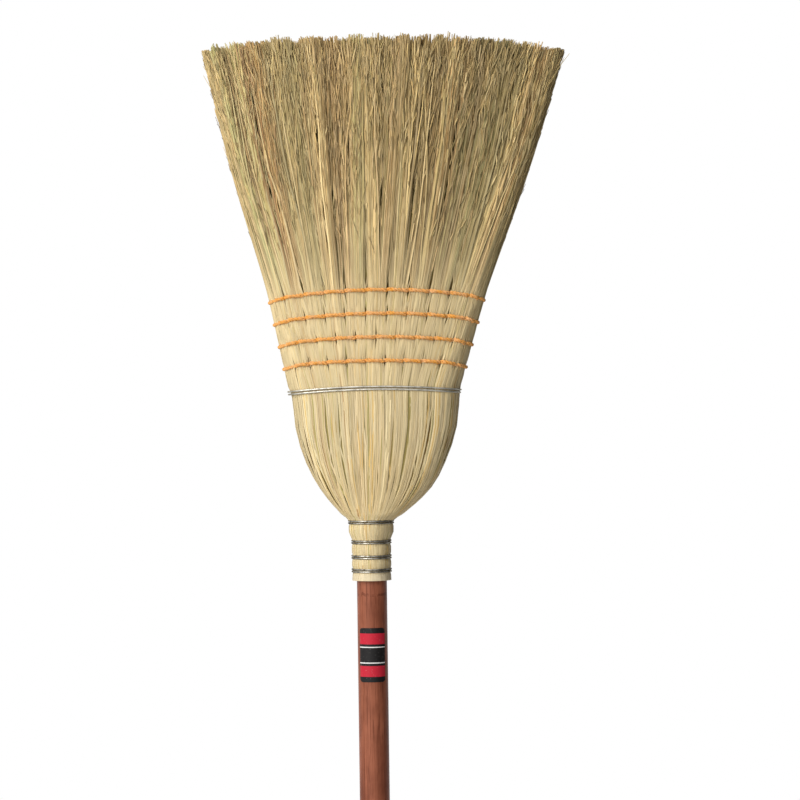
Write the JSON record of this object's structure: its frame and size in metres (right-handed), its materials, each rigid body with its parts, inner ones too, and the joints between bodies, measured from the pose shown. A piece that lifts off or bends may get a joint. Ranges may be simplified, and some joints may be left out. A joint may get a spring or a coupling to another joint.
{
  "type": "warehouse broom",
  "caption": "Flat corn broom: fanned straw sweep wired on to a round lacquered wooden handle, held by a wire band and rows of orange twine sewn through, trimmed at the tips.",
  "frame": {"origin": "centre of the handle's lower end, which is the end away from the bristles", "axes": "+Z along the handle towards the bristle tips, +Y through the sweep from its front to its back, +X across the sweep to the right as seen from the front"},
  "size_m": [0.3067, 0.0703, 1.4239],
  "materials": {
    "lacquered_wood": "reddish-brown stain under a satin lacquer",
    "printed_film": "smooth dark print, slightly glossy",
    "broomcorn": "natural straw, pale at the shoulder and browner at the tips",
    "steel_wire": "galvanised, dull grey",
    "twine": "orange twisted twine, matte"
  },
  "bodies": {
    "root": {"handle": "lacquered_wood", "handle_label": "printed_film", "core_corn": "broomcorn", "left_shoulder_corn": "broomcorn", "right_shoulder_corn": "broomcorn", "front_hurl_corn": "broomcorn", "back_hurl_corn": "broomcorn", "core_winding_wire": "steel_wire", "shoulder_winding_wire": "steel_wire", "neck_winding_wire": "steel_wire", "sweep_wire_band": "steel_wire", "wire_tacks": "steel_wire", "stitch_band_1": "twine", "stitch_band_2": "twine", "stitch_band_3": "twine", "stitch_band_4": "twine", "stitch_thread_1": "twine", "stitch_thread_2": "twine", "stitch_thread_3": "twine", "stitch_thread_4": "twine"}
  },
  "joints": []
}
